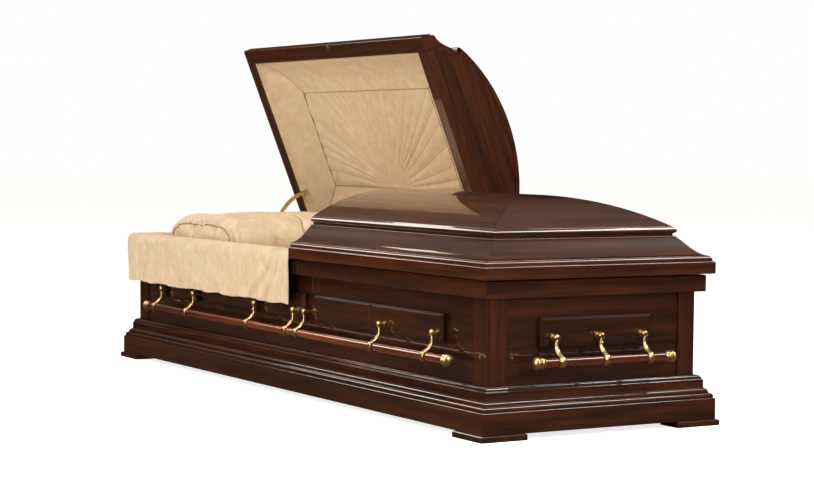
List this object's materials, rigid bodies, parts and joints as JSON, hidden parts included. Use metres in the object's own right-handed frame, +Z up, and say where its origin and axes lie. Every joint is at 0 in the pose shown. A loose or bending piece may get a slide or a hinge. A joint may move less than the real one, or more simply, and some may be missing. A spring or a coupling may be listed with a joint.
{
  "type": "funeral casket",
  "caption": "Half-couch hardwood casket with a moulded case, hinged head and foot lids, padded inside and swing-bar handles.",
  "frame": {"origin": "centre of the underside of the bottom board, 14.2 mm above the ground the feet stand on", "axes": "+X to the foot end, -Y to the front (the side the lids open towards), +Z up"},
  "size_m": [2.16, 0.7712, 0.9888],
  "materials": {
    "case_wood": "high-gloss dark cherry lacquer",
    "lid_wood": "high-gloss dark cherry lacquer",
    "handle_wood": "high-gloss cherry lacquer",
    "inner_wood": "bare planed softwood",
    "brass": "polished and lacquered",
    "lining_cloth": "champagne velvet, padded",
    "bed_cloth": "champagne velvet",
    "pillow_cloth": "champagne velvet",
    "overlay_cloth": "champagne velvet, quilted throw"
  },
  "bodies": {
    "case": {"foot_block_1": "case_wood", "foot_block_2": "case_wood", "foot_block_3": "case_wood", "foot_block_4": "case_wood", "plinth": "case_wood", "bottom_board": "inner_wood", "front_board": "case_wood", "back_board": "case_wood", "foot_board": "case_wood", "head_board": "case_wood", "corner_post_1": "case_wood", "corner_post_2": "case_wood", "corner_post_3": "case_wood", "corner_post_4": "case_wood", "top_band": "case_wood", "front_panel_1": "case_wood", "front_panel_2": "case_wood", "front_panel_3": "case_wood", "front_panel_4": "case_wood", "front_panel_5": "case_wood", "front_panel_6": "case_wood", "foot_panel": "case_wood", "head_panel": "case_wood", "back_panel": "case_wood", "bed_frame": "inner_wood", "case_lining": "lining_cloth", "mattress": "bed_cloth", "pillow": "pillow_cloth", "overlay": "overlay_cloth", "stay_guide": "brass", "lid_hinge": "brass", "lug_front_1": "brass", "lug_front_2": "brass", "lug_front_3": "brass", "lug_front_4": "brass", "lug_front_5": "brass", "lug_front_6": "brass", "lug_front_7": "brass", "lug_foot_1": "brass", "lug_foot_2": "brass", "lug_foot_3": "brass", "lug_back_1": "brass", "lug_back_2": "brass", "lug_back_3": "brass", "lug_head_1": "brass", "lug_head_2": "brass"},
    "foot_lid": {"foot_lid_edge": "lid_wood", "foot_lid_ogee": "lid_wood", "foot_lid_crown": "lid_wood", "foot_lid_lining": "lining_cloth"},
    "head_lid": {"head_lid_edge": "lid_wood", "head_lid_ogee": "lid_wood", "head_lid_crown": "lid_wood", "head_lid_border": "lining_cloth", "head_lid_panel": "lining_cloth", "lid_stay": "brass"},
    "handle_front": {"handle_front": "handle_wood"},
    "handle_foot": {"handle_foot": "handle_wood"},
    "handle_back": {"handle_back": "handle_wood"},
    "handle_head": {"handle_head": "handle_wood"}
  },
  "joints": [
    {"name": "foot_lid_hinge", "type": "hinge", "parent": "case", "child": "foot_lid", "pos_m": [0.5486, 0.3204, 0.3555], "axis": [-1, 0, 0], "range_deg": [0, 68]},
    {"name": "head_lid_hinge", "type": "hinge", "parent": "case", "child": "head_lid", "pos_m": [-0.473, 0.3204, 0.3555], "axis": [-1, 0, 0], "range_deg": [-68, 0], "deforming": ["pillow", "overlay"]},
    {"name": "handle_front_swing", "type": "hinge", "parent": "case", "child": "handle_front", "pos_m": [0, -0.327, 0.218], "axis": [-1, 0, 0], "range_deg": [0, 60]},
    {"name": "handle_foot_swing", "type": "hinge", "parent": "case", "child": "handle_foot", "pos_m": [1.047, 0, 0.218], "axis": [0, -1, 0], "range_deg": [0, 60]},
    {"name": "handle_back_swing", "type": "hinge", "parent": "case", "child": "handle_back", "pos_m": [0, 0.327, 0.218], "axis": [1, 0, 0], "range_deg": [0, 60]},
    {"name": "handle_head_swing", "type": "hinge", "parent": "case", "child": "handle_head", "pos_m": [-1.047, 0, 0.218], "axis": [0, 1, 0], "range_deg": [0, 60]}
  ]
}
